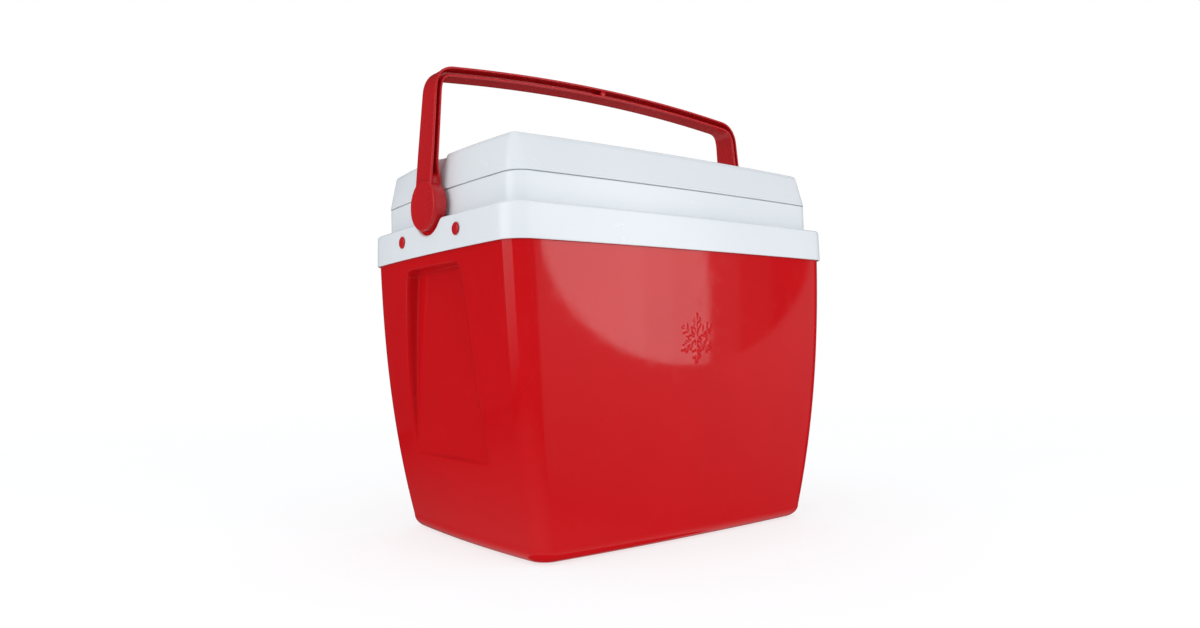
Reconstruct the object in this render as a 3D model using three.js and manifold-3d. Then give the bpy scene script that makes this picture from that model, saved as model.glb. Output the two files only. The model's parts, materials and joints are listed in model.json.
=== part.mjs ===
// Picnic cooler box: tapered red shell, white rim collar and lift-off lid, moulded tub
// with foam boards round it, and a swing handle on two hubs. Millimetres, +Z up.
// X is the long direction, -Y is the front, and the box stands on z = 0.

import * as THREE from 'three';
import { mergeVertices } from 'three/addons/utils/BufferGeometryUtils.js';
import Module from 'manifold-3d';

const wasm = await Module();
wasm.setup();

// ---------------------------------------------------------------- driving sizes

const GAP = 0.3; // between pieces that touch
const SHELL_TOP = 297; // where the red shell goes under the skirt
const LEDGE_TOP = 331.5; // top of the collar's skirt
const SEAM = 362.5; // lower edge of the lid
const LID_TOP = 400;

const SKIRT = { a: 231.2, b: 150.5, r: 23 }; // half length, half depth, corner radius
const SKIRT_DRAFT = 0.5;
const SKIRT_WALL = 2.2;
const RIM_STEP = 13.1; // the upper wall stands this far inside the skirt
const RIM_WALL = 2.5;
const END_BOW = 6; // how far the end walls bulge at mid depth
const FRONT_BOW = 5.2; // how far the long walls bulge at mid length

const SHELL_INSET = 2.6; // shell below the skirt's face
const SHELL_WALL = 2.2;
const SHELL_RIM_TOP = 328.6; // shell edge, tucked up inside the skirt
const TAPER_LONG = 35.6; // how much narrower each end is at the floor
const TAPER_DEEP = 16.8;
const BASE_RADIUS = 18;
const BASE_ROUND = 13.5; // rounding between walls and floor
const FLOOR_WALL = 2.6;
const FOOT_WIDTH = 30; // flat ring that the box stands on
const FOOT_HEIGHT = 3;

const GRIP = { top: 286, bottom: 88, topHalf: 56, midHalf: 70, bottomHalf: 73, corner: 9 };
const GRIP_MID = 195; // height where the recess's curved sides turn in
const GRIP_FLOOR_AT_BOTTOM = 207.6; // distance of the recess floor from the middle
const GRIP_LEAN = 0.031; // the recess floor leans out by this much per millimetre up

const END_INSULATION = 22; // shell face to tub face at the ends
const SIDE_INSULATION = 17;
const TUB_WALL = 1.8;
const TUB_FLOOR = 24.6;
const TUB_ROUND = 10;
const TUB_FLANGE = 1.5;
const FOAM_TOP = 327;

const PIVOT_Z = 346.8;
const HUB_RADIUS = 26;
const HUB_FACE = 237; // outer face of the hub disc
const HUB_BACK = 222.2;
const AXLE_RADIUS = 9;
const AXLE_END = 209.6;
const CLIP = { inner: 8.3, outer: 11.2, from: 212.7, to: 214.4, mouth: 11 };
const SCOOP_RADIUS = 30; // round clearance for the hub in the skirt
const SCOOP_WALL = 2.2;
const PAD = { radius: 13.6, height: 3.5 }; // bearing pad on the collar's end wall

const HANDLE_TOP = 503;
const BAR_RISE = 9.75; // the bar is this much higher at the middle
const BAR_HALF = 203;
const ARM_LEAN = 0.085;
const CORNER_LEG = 25;
const FLARE = 4.6; // how much thicker the arms get where they join the hubs
const FLARE_REACH = 22;
const ARM_DEPTH = 8; // outer face to inner face of the section
const BAR_DEPTH = 10.4;
const FLANGE = 2.2;
const WEB_HALF = 2;
const ARM_HALF = 16; // half width, low on the arms
const CORNER_HALF = 14;
const BAR_HALF_WIDTH = 12.3;
const BAR_BOSS = 3.9; // radius of the round boss in the bar's grooves

const STUD = { y: 57, z: 316, head: 6.5, crown: 1.9, shank: 4, barb: 4.9 };
const STUD_HOLE = 4.4;

const LID_WALL = 2.4;
const LID_OVERHANG = 0.7;
const LID_DRAFT_END = 4.6;
const LID_DRAFT_FRONT = 9.8;
const LID_CORNER = { seam: 18, top: 6 }; // corner radius at the lid's lower and upper edge
const LID_EDGE = 2; // rounding of the lid's top edge
const LID_PANEL = { inset: 17, depth: 1.5 };
const LID_SCOOP = { radius: 18.5, depth: 6.5, height: 24 };
const PAN_BOTTOM = 345;
const PAN_GAP = 1.2; // between the pan's plug and the tub
const PAN_WALL = 1.8;

// ---------------------------------------------------------------- materials

const redPlastic = () => new THREE.MeshStandardMaterial({ color: 0xb8161a, roughness: 0.28, metalness: 0 });
const whitePlastic = () => new THREE.MeshStandardMaterial({ color: 0xe4e8ec, roughness: 0.4, metalness: 0 });
const whiteFoam = () => new THREE.MeshStandardMaterial({ color: 0xf3f3ee, roughness: 0.9, metalness: 0 });
const clipSteel = () => new THREE.MeshStandardMaterial({ color: 0x9a9da1, roughness: 0.35, metalness: 1 });

// ---------------------------------------------------------------- solids

// A closed three.js geometry as a solid that can be cut and joined.
function solid(geometry) {
  const bare = geometry.index ? geometry.toNonIndexed() : geometry.clone();
  for (const name of Object.keys(bare.attributes)) {
    if (name !== 'position') bare.deleteAttribute(name);
  }
  const merged = mergeVertices(bare, 1e-4);
  const mesh = new wasm.Mesh({
    numProp: 3,
    vertProperties: new Float32Array(merged.attributes.position.array),
    triVerts: new Uint32Array(merged.index.array),
  });
  return new wasm.Manifold(mesh);
}

function geometryOf(body) {
  const mesh = body.getMesh();
  const geometry = new THREE.BufferGeometry();
  geometry.setAttribute('position', new THREE.Float32BufferAttribute(mesh.vertProperties, 3));
  geometry.setIndex(new THREE.Uint32BufferAttribute(mesh.triVerts, 1));
  geometry.computeVertexNormals();
  return geometry;
}

const cutAll = (body, cutters) => cutters.reduce((left, cutter) => left.subtract(cutter), body);

// Rounded rectangle whose sides bulge, anticlockwise, always with the same point count.
function outline({ a, b, r, endBow = END_BOW, frontBow = FRONT_BOW }) {
  const points = [];
  const sideSteps = 4;
  const cornerSteps = 5;
  const corners = [[1, -1], [1, 1], [-1, 1], [-1, -1]];
  corners.forEach(([sx, sy], k) => {
    const start = -Math.PI / 2 + (k * Math.PI) / 2;
    for (let i = 0; i <= cornerSteps; i += 1) {
      const t = start + ((i / cornerSteps) * Math.PI) / 2;
      points.push(new THREE.Vector2(sx * (a - r) + r * Math.cos(t), sy * (b - r) + r * Math.sin(t)));
    }
    const from = points[points.length - 1];
    const [nx, ny] = corners[(k + 1) % 4];
    const to = new THREE.Vector2(nx * (a - r), ny * (b - r));
    to.add(new THREE.Vector2(r * Math.cos(start + Math.PI / 2), r * Math.sin(start + Math.PI / 2)));
    for (let i = 1; i < sideSteps; i += 1) points.push(from.clone().lerp(to, i / sideSteps));
  });
  return points.map((p) => new THREE.Vector2(
    p.x * (1 - (endBow / a) * (p.y / b) ** 2),
    p.y * (1 - (frontBow / b) * (p.x / a) ** 2),
  ));
}

// Closed solid through outlines stacked upwards, each { z, a, b, r, ... }.
function loft(levels) {
  const rings = levels.map((level) => outline(level));
  const count = rings[0].length;
  const positions = [];
  rings.forEach((ring, k) => ring.forEach((p) => positions.push(p.x, p.y, levels[k].z)));
  const floorCentre = positions.length / 3;
  positions.push(0, 0, levels[0].z);
  positions.push(0, 0, levels[levels.length - 1].z);
  const triangles = [];
  for (let k = 0; k < rings.length - 1; k += 1) {
    for (let i = 0; i < count; i += 1) {
      const here = k * count + i;
      const next = k * count + ((i + 1) % count);
      triangles.push(here, next, next + count, here, next + count, here + count);
    }
  }
  const top = (rings.length - 1) * count;
  for (let i = 0; i < count; i += 1) {
    const j = (i + 1) % count;
    triangles.push(floorCentre, j, i, floorCentre + 1, top + i, top + j);
  }
  const geometry = new THREE.BufferGeometry();
  geometry.setAttribute('position', new THREE.Float32BufferAttribute(positions, 3));
  geometry.setIndex(triangles);
  return solid(geometry);
}

// Levels between the given heights for a wall that follows `shape(z)`.
const levelsBetween = (low, high, steps, shape) => Array.from(
  { length: steps + 1 },
  (_, i) => {
    const z = low + ((high - low) * i) / steps;
    return { z, ...shape(z) };
  },
);

// Quarter-round levels from a floor at z = low up to the start of the wall.
function roundedFloor(low, round, shape, steps = 3) {
  const levels = [];
  for (let i = 0; i < steps; i += 1) {
    const t = (i / steps) * (Math.PI / 2);
    const inset = round * (1 - Math.sin(t));
    const z = low + round * (1 - Math.cos(t));
    const { a, b, r, ...bows } = shape(low + round);
    levels.push({ z, a: a - inset, b: b - inset, r: Math.max(r - inset * 0.4, 4), ...bows });
  }
  return levels;
}

// Turned solid about a line along X. Profile points are [distance from the line, x].
function turned(profile, segments, side = 1, y = 0, z = PIVOT_Z) {
  const points = profile.map(([radius, x]) => new THREE.Vector2(radius, x));
  const geometry = new THREE.LatheGeometry(points, segments);
  geometry.rotateZ(-Math.PI / 2);
  if (side < 0) geometry.rotateZ(Math.PI);
  geometry.translate(0, y, z);
  return solid(geometry);
}

const disc = (radius, from, to, segments, side, y, z) => turned(
  [[0, from], [radius, from], [radius, to], [0, to]],
  segments,
  side,
  y,
  z,
);

// Flat outline in the X-Z plane, given thickness along Y about y = 0.
function plateXZ(points, half) {
  const shape = new THREE.Shape(points);
  const geometry = new THREE.ExtrudeGeometry(shape, { depth: 2 * half, bevelEnabled: false });
  geometry.translate(0, 0, -half);
  geometry.rotateX(Math.PI / 2);
  return solid(geometry);
}

// ---------------------------------------------------------------- wall shapes

// The shell's outer face at height z. Above SHELL_TOP it is upright.
function shellFace(z) {
  const depth = Math.max(0, 1 - z / SHELL_TOP);
  const long = 0.37 * depth + 0.63 * depth ** 2.5;
  const deep = -0.07 * depth + 1.07 * depth ** 2.13;
  const topRadius = SKIRT.r - SHELL_INSET;
  return {
    a: SKIRT.a - SHELL_INSET - TAPER_LONG * long,
    b: SKIRT.b - SHELL_INSET - TAPER_DEEP * deep,
    r: topRadius + (BASE_RADIUS - topRadius) * depth,
  };
}

const inset = (distance) => (z) => {
  const { a, b, r } = shellFace(z);
  return { a: a - distance, b: b - distance, r: Math.max(r - distance, 3) };
};

// The tub's outer face, grown by `extra`.
const tubFace = (extra) => (z) => {
  const { a, b } = shellFace(z);
  return { a: a - END_INSULATION + extra, b: b - SIDE_INSULATION + extra, r: 22 + extra };
};

const rimFace = (distance) => ({
  a: SKIRT.a - RIM_STEP - distance,
  b: SKIRT.b - RIM_STEP - distance,
  r: Math.max(SKIRT.r - 6 - distance, 4),
});

// The lid's outer face at height z, moved in by `distance`.
function lidFace(z, distance = 0) {
  const up = (z - SEAM) / (LID_TOP - SEAM);
  return {
    z,
    a: SKIRT.a - RIM_STEP + LID_OVERHANG - LID_DRAFT_END * up - distance,
    b: SKIRT.b - RIM_STEP + LID_OVERHANG - LID_DRAFT_FRONT * up - distance,
    r: Math.max(LID_CORNER.seam + (LID_CORNER.top - LID_CORNER.seam) * up - distance, 4),
    endBow: END_BOW + 2.2 * up,
    frontBow: FRONT_BOW + 1.6 * up,
  };
}

// ---------------------------------------------------------------- cutters

// Trapezoid prism of the finger recess in an end wall, grown by `extra` all round.
function gripBlock(side, extra) {
  const top = GRIP.top + extra;
  const bottom = GRIP.bottom - extra;
  const topHalf = GRIP.topHalf + extra;
  const midHalf = GRIP.midHalf + extra;
  const bottomHalf = GRIP.bottomHalf + extra;
  const corner = GRIP.corner + extra;
  const shape = new THREE.Shape();
  shape.moveTo(-bottomHalf, bottom);
  shape.lineTo(bottomHalf, bottom);
  shape.quadraticCurveTo(midHalf, GRIP_MID, topHalf, top - corner);
  shape.quadraticCurveTo(topHalf, top, topHalf - corner, top);
  shape.lineTo(-topHalf + corner, top);
  shape.quadraticCurveTo(-topHalf, top, -topHalf, top - corner);
  shape.quadraticCurveTo(-midHalf, GRIP_MID, -bottomHalf, bottom);
  const geometry = new THREE.ExtrudeGeometry(shape, { depth: 60, bevelEnabled: false, curveSegments: 5 });
  geometry.rotateX(Math.PI / 2);
  geometry.rotateZ(Math.PI / 2);
  geometry.translate(0, 0, -GRIP.bottom);
  geometry.rotateY(Math.atan(GRIP_LEAN));
  geometry.translate(GRIP_FLOOR_AT_BOTTOM - extra, 0, GRIP.bottom);
  if (side < 0) geometry.rotateZ(Math.PI);
  return solid(geometry);
}

// Leaning round scoop in the top of the lid's end wall, grown by `extra`.
function lidScoop(side, extra) {
  const radius = LID_SCOOP.radius + extra;
  const geometry = new THREE.CylinderGeometry(radius, radius, 90, 24);
  geometry.rotateX(Math.PI / 2);
  geometry.rotateY(-Math.atan((LID_SCOOP.depth + LID_DRAFT_END) / LID_SCOOP.height));
  const wallTop = lidFace(LID_TOP).a;
  geometry.translate(wallTop + LID_SCOOP.radius - LID_SCOOP.depth, 0, LID_TOP);
  if (side < 0) geometry.rotateZ(Math.PI);
  return solid(geometry);
}

const SIDES = [-1, 1];
const STUD_PLACES = SIDES.flatMap((side) => SIDES.map((across) => ({ side, y: across * STUD.y })));

// ---------------------------------------------------------------- red shell

function outerShell() {
  const outer = loft([
    ...roundedFloor(0, BASE_ROUND, shellFace, 4),
    ...levelsBetween(BASE_ROUND, SHELL_TOP, 7, shellFace),
    { z: SHELL_RIM_TOP, ...shellFace(SHELL_TOP) },
  ]);
  const inner = inset(SHELL_WALL);
  let hollow = loft([
    ...roundedFloor(FLOOR_WALL, BASE_ROUND - SHELL_WALL, inner, 3),
    ...levelsBetween(BASE_ROUND + 1, SHELL_TOP, 7, inner),
    { z: SHELL_RIM_TOP + 5, ...inner(SHELL_TOP) },
  ]);
  const foot = inset(FOOT_WIDTH)(0);
  const underFloor = loft([{ z: -2, ...foot }, { z: FOOT_HEIGHT, ...foot }]);
  const plateauFoot = { a: foot.a + FLOOR_WALL, b: foot.b + FLOOR_WALL, r: foot.r + FLOOR_WALL };
  const plateau = loft([{ z: 0, ...plateauFoot }, { z: FOOT_HEIGHT + FLOOR_WALL, ...plateauFoot }]);
  hollow = cutAll(hollow, [plateau, ...SIDES.map((side) => gripBlock(side, SHELL_WALL))]);
  const cutters = [
    hollow,
    underFloor,
    ...SIDES.map((side) => gripBlock(side, 0)),
    ...SIDES.map((side) => disc(SCOOP_RADIUS + SCOOP_WALL + 1, 215, 240, 40, side)),
    ...STUD_PLACES.map(({ side, y }) => disc(STUD_HOLE, 220, 235, 16, side, y, STUD.z)),
  ];
  return cutAll(outer, cutters);
}

// ---------------------------------------------------------------- white collar

function rimCollar() {
  const skirtFoot = { ...SKIRT, a: SKIRT.a + SKIRT_DRAFT, b: SKIRT.b + SKIRT_DRAFT };
  const grow = (face, distance) => ({ a: face.a - distance, b: face.b - distance, r: face.r - distance });
  const rimTop = SEAM - GAP;
  const outer = loft([{ z: SHELL_TOP, ...skirtFoot }, { z: LEDGE_TOP, ...SKIRT }])
    .add(loft([{ z: LEDGE_TOP - 2, ...rimFace(0) }, { z: rimTop, ...rimFace(0) }]));
  const skirtHollow = loft([
    { z: SHELL_TOP - 3, ...grow(SKIRT, SKIRT_WALL) },
    { z: LEDGE_TOP - RIM_WALL, ...grow(SKIRT, SKIRT_WALL) },
  ]);
  const rimHollow = loft([
    { z: SHELL_TOP - 3, ...rimFace(RIM_WALL) },
    { z: rimTop - RIM_WALL, ...rimFace(RIM_WALL) },
  ]);
  const mouth = tubFace(GAP)(SEAM);
  const opening = loft([{ z: SHELL_TOP - 3, ...mouth }, { z: SEAM + 5, ...mouth }]);
  let collar = cutAll(outer, [skirtHollow, rimHollow, opening]);
  const wallFace = SKIRT.a - RIM_STEP;
  for (const side of SIDES) {
    const backing = disc(SCOOP_RADIUS + SCOOP_WALL, wallFace - RIM_WALL, 245, 36, side);
    const pad = disc(PAD.radius, wallFace - RIM_WALL, wallFace + PAD.height, 28, side);
    collar = collar.add(backing.intersect(outer));
    collar = collar.subtract(disc(SCOOP_RADIUS, wallFace, 250, 36, side));
    collar = collar.add(pad);
    collar = collar.subtract(disc(AXLE_RADIUS + 0.4, 200, 250, 28, side));
  }
  const studHoles = STUD_PLACES.map(({ side, y }) => disc(STUD_HOLE, 222, 240, 16, side, y, STUD.z));
  return cutAll(collar, studHoles);
}

// ---------------------------------------------------------------- tub and foam

function innerTub() {
  const outerFace = tubFace(0);
  const innerFace = tubFace(-TUB_WALL);
  const flange = rimFace(RIM_WALL + 0.3);
  const body = loft([
    ...roundedFloor(TUB_FLOOR, TUB_ROUND, outerFace),
    ...levelsBetween(TUB_FLOOR + TUB_ROUND, SHELL_TOP, 6, outerFace),
    { z: SEAM + TUB_FLANGE, ...outerFace(SEAM) },
  ]).add(loft([{ z: SEAM, ...flange }, { z: SEAM + TUB_FLANGE, ...flange }]));
  const hollow = loft([
    ...roundedFloor(TUB_FLOOR + TUB_WALL, TUB_ROUND, innerFace),
    ...levelsBetween(TUB_FLOOR + TUB_ROUND + TUB_WALL, SHELL_TOP, 6, innerFace),
    { z: SEAM + 10, ...innerFace(SEAM) },
  ]);
  return body.subtract(hollow);
}

// The space between shell and tub is filled by four boards that meet at the corners.
const BOARD_BOTTOM = TUB_FLOOR - GAP;

function foamRing() {
  const outerFace = inset(SHELL_WALL + GAP);
  const innerFace = tubFace(GAP);
  const outer = loft([
    ...levelsBetween(BOARD_BOTTOM, SHELL_TOP, 6, outerFace),
    { z: FOAM_TOP, ...outerFace(FOAM_TOP) },
  ]);
  const inner = loft([
    { z: BOARD_BOTTOM - 5, ...innerFace(BOARD_BOTTOM) },
    ...levelsBetween(BOARD_BOTTOM, SHELL_TOP, 6, innerFace),
    { z: FOAM_TOP + 5, ...innerFace(FOAM_TOP) },
  ]);
  return outer.subtract(inner);
}

// Wedge from the middle of the box out past one wall, cut along the corner diagonals.
function wedge(turns) {
  const along = turns % 2 === 0;
  const reach = 2 * (along ? SKIRT.a : SKIRT.b);
  const depth = 2 * (along ? SKIRT.b : SKIRT.a);
  const shape = new THREE.Shape();
  shape.moveTo(0, -GAP);
  shape.lineTo(-reach, -depth - GAP);
  shape.lineTo(reach, -depth - GAP);
  shape.closePath();
  const geometry = new THREE.ExtrudeGeometry(shape, { depth: 400, bevelEnabled: false });
  geometry.rotateZ((turns * Math.PI) / 2);
  return solid(geometry);
}

const sideBoard = (turns) => foamRing().intersect(wedge(turns));

function endBoard(turns, side) {
  const cutters = [
    gripBlock(side, SHELL_WALL + GAP),
    disc(SCOOP_RADIUS + SCOOP_WALL + 1, SKIRT.a - RIM_STEP - RIM_WALL - 1, 240, 40, side),
    ...SIDES.map((across) => disc(STUD.barb + 1, 219, 240, 16, side, across * STUD.y, STUD.z)),
  ];
  return cutAll(foamRing().intersect(wedge(turns)), cutters);
}

function baseBoard() {
  const low = FOOT_HEIGHT + FLOOR_WALL + GAP;
  const face = (z) => {
    const { a, b, r } = inset(SHELL_WALL + GAP)(z);
    return { a, b, r };
  };
  const corner = face(BASE_ROUND);
  const tuck = 4.5; // the board's lower edge clears the shell's rounded corner
  return loft([
    { z: low, a: corner.a - tuck, b: corner.b - tuck, r: corner.r },
    { z: BASE_ROUND, ...corner },
    { z: BOARD_BOTTOM - GAP, ...face(BASE_ROUND) },
  ]);
}

// ---------------------------------------------------------------- lid

const PAN_SHELF = SEAM + TUB_FLANGE + GAP;
const PAN_TOP = PAN_SHELF + PAN_WALL;

function lidCover() {
  const outer = loft([
    lidFace(SEAM),
    lidFace(LID_TOP - LID_EDGE),
    lidFace(LID_TOP - LID_EDGE * 0.3, LID_EDGE * 0.3),
    lidFace(LID_TOP, LID_EDGE),
  ]);
  const ceiling = LID_TOP - LID_PANEL.depth - LID_WALL;
  const levels = [SEAM - 4, PAN_TOP, PAN_TOP + GAP, ceiling];
  const hollow = loft(levels.map((z) => lidFace(z, LID_WALL)));
  const panel = loft([
    lidFace(LID_TOP - LID_PANEL.depth, LID_PANEL.inset),
    { ...lidFace(LID_TOP, LID_PANEL.inset), z: LID_TOP + 3 },
  ]);
  let cover = cutAll(outer, [hollow, panel]);
  for (const side of SIDES) {
    cover = cover.add(lidScoop(side, LID_WALL).intersect(outer)).subtract(lidScoop(side, 0));
  }
  return cover;
}

const panPlug = (extra) => {
  const tub = tubFace(-TUB_WALL)(SEAM);
  return { a: tub.a - PAN_GAP + extra, b: tub.b - PAN_GAP + extra, r: 18 + extra };
};

function lidPan() {
  const shelf = lidFace(PAN_TOP, LID_WALL + GAP);
  const plug = loft([
    { z: PAN_BOTTOM, ...panPlug(-3) },
    { z: PAN_BOTTOM + 3, ...panPlug(0) },
    { z: PAN_TOP, ...panPlug(0) },
  ]);
  const hollow = loft([
    { z: PAN_BOTTOM + PAN_WALL, ...panPlug(-3 - PAN_WALL) },
    { z: PAN_BOTTOM + 3, ...panPlug(-PAN_WALL) },
    { z: PAN_TOP + 5, ...panPlug(-PAN_WALL) },
  ]);
  return plug.add(loft([{ ...shelf, z: PAN_SHELF }, shelf])).subtract(hollow);
}

function lidFoam() {
  const ceiling = LID_TOP - LID_PANEL.depth - LID_WALL - GAP;
  const low = loft([
    { z: PAN_BOTTOM + PAN_WALL + GAP, ...panPlug(-3 - PAN_WALL - GAP) },
    { z: PAN_BOTTOM + 3 + GAP, ...panPlug(-PAN_WALL - GAP) },
    { z: PAN_TOP + 2, ...panPlug(-PAN_WALL - GAP) },
  ]);
  const high = loft([lidFace(PAN_TOP + GAP, LID_WALL + 2 * GAP), lidFace(ceiling, LID_WALL + 2 * GAP)]);
  return cutAll(low.add(high), SIDES.map((side) => lidScoop(side, LID_WALL + GAP)));
}

// ---------------------------------------------------------------- handle

// The handle's outer edge in the X-Z plane, from the left pivot over to the right one.
function handleEdge() {
  const barEnd = new THREE.Vector2(BAR_HALF, HANDLE_TOP - BAR_RISE);
  const barSlope = (-2 * BAR_RISE) / BAR_HALF;
  // The corner's control point is where the arm's line meets the bar's tangent.
  const armX = (z) => HUB_FACE - ARM_LEAN * (z - PIVOT_Z);
  let controlZ = barEnd.y;
  for (let i = 0; i < 4; i += 1) controlZ = barEnd.y + barSlope * (armX(controlZ) - barEnd.x);
  const control = new THREE.Vector2(armX(controlZ), controlZ);
  const armTop = new THREE.Vector2(armX(controlZ - CORNER_LEG), controlZ - CORNER_LEG);
  const mirror = (v) => new THREE.Vector2(-v.x, v.y);
  const path = new THREE.CurvePath();
  const foot = new THREE.Vector2(HUB_FACE - 0.4, PIVOT_Z);
  path.add(new THREE.LineCurve(mirror(foot), mirror(armTop)));
  path.add(new THREE.QuadraticBezierCurve(mirror(armTop), mirror(control), mirror(barEnd)));
  const crown = new THREE.Vector2(0, HANDLE_TOP + BAR_RISE);
  path.add(new THREE.QuadraticBezierCurve(mirror(barEnd), crown, barEnd));
  path.add(new THREE.QuadraticBezierCurve(barEnd, control, armTop));
  path.add(new THREE.LineCurve(armTop, foot));
  const steps = [12, 8, 14, 8, 12];
  const points = [];
  const inward = [];
  path.curves.forEach((curve, k) => {
    for (let i = k === 0 ? 0 : 1; i <= steps[k]; i += 1) {
      const tangent = curve.getTangent(i / steps[k]);
      points.push(curve.getPoint(i / steps[k]));
      inward.push(new THREE.Vector2(tangent.y, -tangent.x));
    }
  });
  return { points, inward };
}

// Strip of the handle between two distances in from its outer edge. A distance is a
// fraction of the section's depth and an offset in millimetres.
function handleStrip([fromShare, fromOffset], [toShare, toOffset], half) {
  const { points, inward } = handleEdge();
  const depth = points.map((p, i) => {
    const aboveHub = (p.y - PIVOT_Z - HUB_RADIUS) / FLARE_REACH;
    const flare = FLARE * THREE.MathUtils.clamp(1 - aboveHub, 0, 1) ** 2;
    return ARM_DEPTH + (BAR_DEPTH - ARM_DEPTH) * inward[i].y ** 2 + flare;
  });
  const moved = (share, offset) => points.map(
    (p, i) => p.clone().addScaledVector(inward[i], share * depth[i] + offset),
  );
  const inner = moved(toShare, toOffset).reverse();
  return plateXZ([...moved(fromShare, fromOffset), ...inner], half);
}

// Block that narrows the handle from the arms to the bar.
function handleWidthBlock() {
  const outlineYZ = [
    [-ARM_HALF, 300],
    [ARM_HALF, 300],
    [ARM_HALF, 400],
    [CORNER_HALF, 474],
    [BAR_HALF_WIDTH, 492],
    [BAR_HALF_WIDTH, 520],
    [-BAR_HALF_WIDTH, 520],
    [-BAR_HALF_WIDTH, 492],
    [-CORNER_HALF, 474],
    [-ARM_HALF, 400],
  ];
  const shape = new THREE.Shape(outlineYZ.map(([y, z]) => new THREE.Vector2(y, z)));
  const geometry = new THREE.ExtrudeGeometry(shape, { depth: 520, bevelEnabled: false });
  geometry.translate(0, 0, -260);
  geometry.rotateX(Math.PI / 2);
  geometry.rotateZ(Math.PI / 2);
  return solid(geometry);
}

function handle() {
  const outerFlange = handleStrip([0, 0], [0, FLANGE], ARM_HALF);
  const innerFlange = handleStrip([1, -FLANGE], [1, 0], ARM_HALF);
  const web = handleStrip([0, FLANGE / 2], [1, -FLANGE / 2], WEB_HALF);
  const boss = new THREE.CylinderGeometry(BAR_BOSS, BAR_BOSS, 2 * (BAR_HALF_WIDTH - 2), 20);
  boss.translate(0, 0, HANDLE_TOP - BAR_DEPTH / 2);
  let body = outerFlange.add(innerFlange).intersect(handleWidthBlock()).add(web).add(solid(boss));
  const groove = CLIP.inner - 0.4;
  const hub = [
    [0, AXLE_END],
    [AXLE_RADIUS - 0.8, AXLE_END],
    [AXLE_RADIUS, AXLE_END + 0.8],
    [AXLE_RADIUS, CLIP.from - GAP],
    [groove, CLIP.from - GAP],
    [groove, CLIP.to + GAP],
    [AXLE_RADIUS, CLIP.to + GAP],
    [AXLE_RADIUS, HUB_BACK],
    [HUB_RADIUS, HUB_BACK],
    [HUB_RADIUS, HUB_FACE - 1.8],
    [HUB_RADIUS - 0.6, HUB_FACE - 0.6],
    [HUB_RADIUS - 1.8, HUB_FACE],
    [0, HUB_FACE],
  ];
  for (const side of SIDES) body = body.add(turned(hub, 32, side));
  return body;
}

// Open ring that snaps into the axle's groove inside the collar.
function pivotClip(side) {
  const ring = disc(CLIP.outer, CLIP.from, CLIP.to, 28, side)
    .subtract(disc(CLIP.inner, CLIP.from - 1, CLIP.to + 1, 28, side));
  const mouth = new THREE.BoxGeometry(6, CLIP.mouth, 20);
  mouth.translate(side * CLIP.from, 0, PIVOT_Z - 10);
  return ring.subtract(solid(mouth));
}

// Snap-in stud that pins the skirt to the shell.
function rimStud(side, y) {
  const bow = END_BOW * (y / SKIRT.b) ** 2;
  const seat = SKIRT.a - bow + GAP + 0.35;
  const innerFace = SKIRT.a - SHELL_INSET - SHELL_WALL - bow;
  const profile = [
    [0, innerFace - 3],
    [STUD.shank - 1, innerFace - 3],
    [STUD.barb, innerFace - 0.9],
    [STUD.shank, innerFace - 0.6],
    [STUD.shank, seat],
    [STUD.head, seat],
    [STUD.head, seat + STUD.crown * 0.4],
    [STUD.head * 0.8, seat + STUD.crown * 0.85],
    [0, seat + STUD.crown],
  ];
  return turned(profile, 16, side, y, STUD.z);
}

// ---------------------------------------------------------------- assembly

const cooler = new THREE.Group();

function addPiece(name, body, material) {
  const mesh = new THREE.Mesh(geometryOf(body), material);
  mesh.name = name;
  cooler.add(mesh);
}

const sideName = (side) => (side < 0 ? 'left' : 'right');

addPiece('outer_shell', outerShell(), redPlastic());
addPiece('rim_collar', rimCollar(), whitePlastic());
addPiece('inner_tub', innerTub(), whitePlastic());
addPiece('foam_board_front', sideBoard(0), whiteFoam());
addPiece('foam_board_back', sideBoard(2), whiteFoam());
addPiece('foam_board_left', endBoard(3, -1), whiteFoam());
addPiece('foam_board_right', endBoard(1, 1), whiteFoam());
addPiece('foam_board_base', baseBoard(), whiteFoam());
addPiece('lid_cover', lidCover(), whitePlastic());
addPiece('lid_pan', lidPan(), whitePlastic());
addPiece('lid_foam', lidFoam(), whiteFoam());
addPiece('handle', handle(), redPlastic());
for (const side of SIDES) addPiece(`pivot_clip_${sideName(side)}`, pivotClip(side), clipSteel());
for (const { side, y } of STUD_PLACES) {
  const place = y < 0 ? 'front' : 'back';
  addPiece(`rim_stud_${sideName(side)}_${place}`, rimStud(side, y), redPlastic());
}

export default cooler;
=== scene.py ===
import json
import math

import bmesh
import bpy
import numpy as np
from mathutils import Matrix, Vector


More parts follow.
